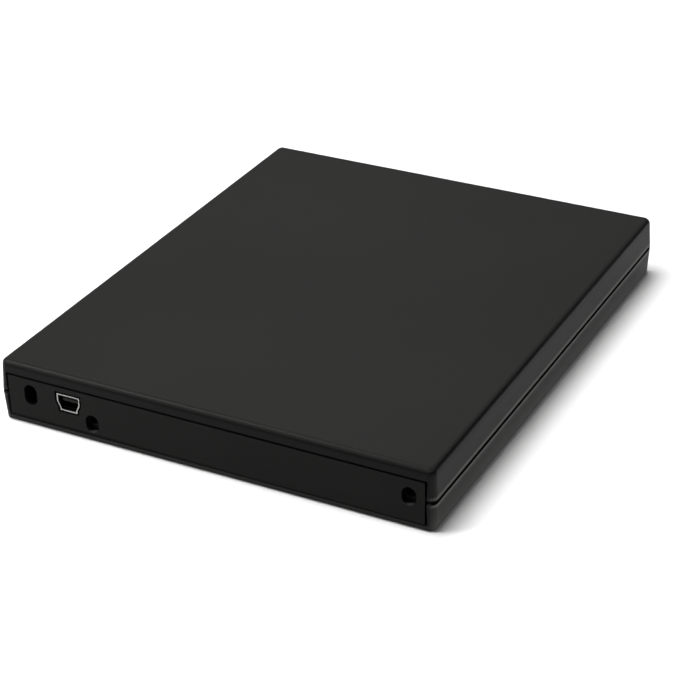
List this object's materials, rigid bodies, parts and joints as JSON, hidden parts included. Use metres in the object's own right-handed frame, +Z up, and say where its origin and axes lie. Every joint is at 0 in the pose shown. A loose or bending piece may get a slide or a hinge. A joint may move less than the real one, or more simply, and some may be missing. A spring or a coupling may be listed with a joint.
{
  "type": "optical disc drive",
  "caption": "Flat black external optical disc drive with a pull-out disc drawer at the front and power and data sockets in the rear panel.",
  "frame": {"origin": "on the ground under the middle of the case, at the undersides of the feet", "axes": "+Z up; -Y the way the drawer comes out; +Y the rear panel with the sockets; +X to the right as seen from the drawer"},
  "size_m": [0.14, 0.1714, 0.02],
  "materials": {
    "case_plastic": "fine matt grain, black",
    "panel_plastic": "fine matt grain, black",
    "screw_black": "black oxide",
    "foot_rubber": "matt",
    "board_green": "green solder mask",
    "chip_black": "matt",
    "screw_steel": "bright",
    "socket_plastic": "matt",
    "port_steel": "plated",
    "sheet_steel": "zinc-plated sheet",
    "cover_steel": "stainless sheet",
    "rail_steel": "bright",
    "motor_steel": "bright",
    "guide_plastic": "matt dark grey",
    "ribbon_film": "amber film",
    "tray_plastic": "matt black",
    "bezel_plastic": "fine matt grain, black",
    "pipe_clear": "milky",
    "damper_rubber": "matt",
    "hub_plastic": "matt dark grey",
    "claw_plastic": "natural",
    "lens_glass": "coated"
  },
  "bodies": {
    "case": {"top_cover": "case_plastic", "bottom_cover": "case_plastic", "rear_panel": "panel_plastic", "rear_screws": "screw_black", "rubber_feet": "foot_rubber", "bridge_board": "board_green", "main_board": "board_green", "bridge_chips": "chip_black", "main_chips": "chip_black", "board_screws": "screw_steel", "lid_screws": "screw_steel", "bridge_connector": "socket_plastic", "drive_socket": "socket_plastic", "dc_jack": "socket_plastic", "usb_tongue": "socket_plastic", "usb_shell": "port_steel", "drive_pan": "sheet_steel", "drive_lid": "sheet_steel", "latch_post": "rail_steel", "left_guide": "guide_plastic", "right_guide": "guide_plastic", "flex_ribbon": "ribbon_film"},
    "tray": {"disc_tray": "tray_plastic", "tray_bezel": "bezel_plastic", "light_pipe": "pipe_clear", "tray_board": "board_green", "eject_switch": "chip_black", "pickup_cover": "cover_steel", "cover_screws": "screw_steel", "tray_shield": "sheet_steel", "mech_frame": "guide_plastic", "frame_dampers": "damper_rubber", "guide_rods": "rail_steel", "sled_motor": "motor_steel", "spindle_motor": "motor_steel", "solenoid": "chip_black", "eject_spring": "rail_steel"},
    "left_rail": {"left_rail": "rail_steel"},
    "right_rail": {"right_rail": "rail_steel"},
    "eject_button": {"eject_button": "bezel_plastic"},
    "spindle": {"turntable": "hub_plastic", "turntable_pad": "damper_rubber"},
    "claw_a": {"hub_claw_a": "claw_plastic"},
    "claw_b": {"hub_claw_b": "claw_plastic"},
    "claw_c": {"hub_claw_c": "claw_plastic"},
    "sled": {"pickup_sled": "guide_plastic"},
    "lens": {"lens_holder": "claw_plastic", "lens": "lens_glass"},
    "lead_screw": {"lead_screw": "rail_steel"},
    "latch": {"latch_lever": "claw_plastic"}
  },
  "joints": [
    {"name": "tray_slide", "type": "slide", "parent": "case", "child": "tray", "axis": [0, -1, 0], "range_m": [0, 0.128], "deforming": ["flex_ribbon", "eject_spring"]},
    {"name": "left_rail_slide", "type": "slide", "parent": "case", "child": "left_rail", "axis": [0, -1, 0], "range_m": [0, 0.064]},
    {"name": "right_rail_slide", "type": "slide", "parent": "case", "child": "right_rail", "axis": [0, -1, 0], "range_m": [0, 0.064]},
    {"name": "eject_press", "type": "slide", "parent": "tray", "child": "eject_button", "axis": [0, 1, 0], "range_m": [0, 0.0007], "stiffness_N_per_m": 300},
    {"name": "spindle_spin", "type": "hinge", "parent": "tray", "child": "spindle", "pos_m": [0, -0.0185, 0], "axis": [0, 0, 1], "continuous": true},
    {"name": "claw_a_slide", "type": "slide", "parent": "spindle", "child": "claw_a", "axis": [0, -1, 0], "range_m": [0, 0.0005], "stiffness_N_per_m": 400},
    {"name": "claw_b_slide", "type": "slide", "parent": "spindle", "child": "claw_b", "axis": [0.866, 0.5, 0], "range_m": [0, 0.0005]},
    {"name": "claw_c_slide", "type": "slide", "parent": "spindle", "child": "claw_c", "axis": [-0.866, 0.5, 0], "range_m": [0, 0.0005]},
    {"name": "sled_slide", "type": "slide", "parent": "tray", "child": "sled", "axis": [-0.6428, -0.766, 0], "range_m": [0, 0.032]},
    {"name": "lead_spin", "type": "hinge", "parent": "tray", "child": "lead_screw", "pos_m": [0.01861, -0.03412, 0.0068], "axis": [-0.6428, -0.766, 0], "continuous": true},
    {"name": "lens_focus", "type": "slide", "parent": "sled", "child": "lens", "axis": [0, 0, 1], "range_m": [-0.0003, 0.0003], "stiffness_N_per_m": 60},
    {"name": "latch_swing", "type": "hinge", "parent": "tray", "child": "latch", "pos_m": [0.044, -0.058, 0.0057], "axis": [0, 0, -1], "range_deg": [0, 12], "stiffness_Nm_per_rad": 0.0005}
  ],
  "couplings": [
    {"joint": "left_rail_slide", "follows": "tray_slide", "ratio": 0.5},
    {"joint": "right_rail_slide", "follows": "tray_slide", "ratio": 0.5},
    {"joint": "claw_b_slide", "follows": "claw_a_slide", "ratio": 1},
    {"joint": "claw_c_slide", "follows": "claw_a_slide", "ratio": 1},
    {"joint": "lead_spin", "follows": "sled_slide", "rad_per_m": 2094.4}
  ]
}
